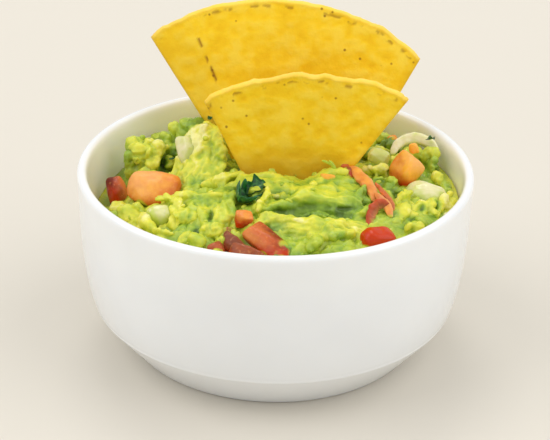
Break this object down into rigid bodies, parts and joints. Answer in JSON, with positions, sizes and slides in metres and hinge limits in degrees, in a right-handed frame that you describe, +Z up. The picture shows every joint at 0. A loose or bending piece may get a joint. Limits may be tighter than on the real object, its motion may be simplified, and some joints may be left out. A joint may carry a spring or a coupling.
{
  "type": "guacamole in a bowl with tortilla chips",
  "caption": "Chunky guacamole with diced tomato and onion heaped in a plain white porcelain bowl, with fried tortilla chips standing upright in it.",
  "frame": {"origin": "centre of the bowl's flat base, on the surface it stands on", "axes": "+Z up, the axis the bowl is turned about; +Y is the side the chips lean towards, and -Y the side they are seen from"},
  "size_m": [0.1148, 0.1148, 0.0935],
  "materials": {
    "porcelain": "white glazed porcelain, clear gloss glaze",
    "guacamole": "mashed and chopped avocado, wet, yellow-green with deeper green parts",
    "tortilla": "fried yellow corn tortilla, dry, small blisters and brown flecks",
    "tomato": "raw diced tomato, wet, orange flesh and red skin",
    "onion": "raw chopped white onion, wet, translucent",
    "coriander": "chopped fresh coriander leaf, dark green"
  },
  "bodies": {
    "root": {"bowl": "porcelain", "guacamole": "guacamole", "chip_back": "tortilla", "chip_front": "tortilla", "tomato_far_left": "tomato", "tomato_left": "tomato", "tomato_front": "tomato", "tomato_front_top": "tomato", "tomato_front_right": "tomato", "tomato_right": "tomato", "tomato_strip": "tomato", "onion_left_back": "onion", "onion_left_front": "onion", "onion_by_chip": "onion", "onion_right": "onion", "onion_right_back": "onion"}
  },
  "joints": []
}
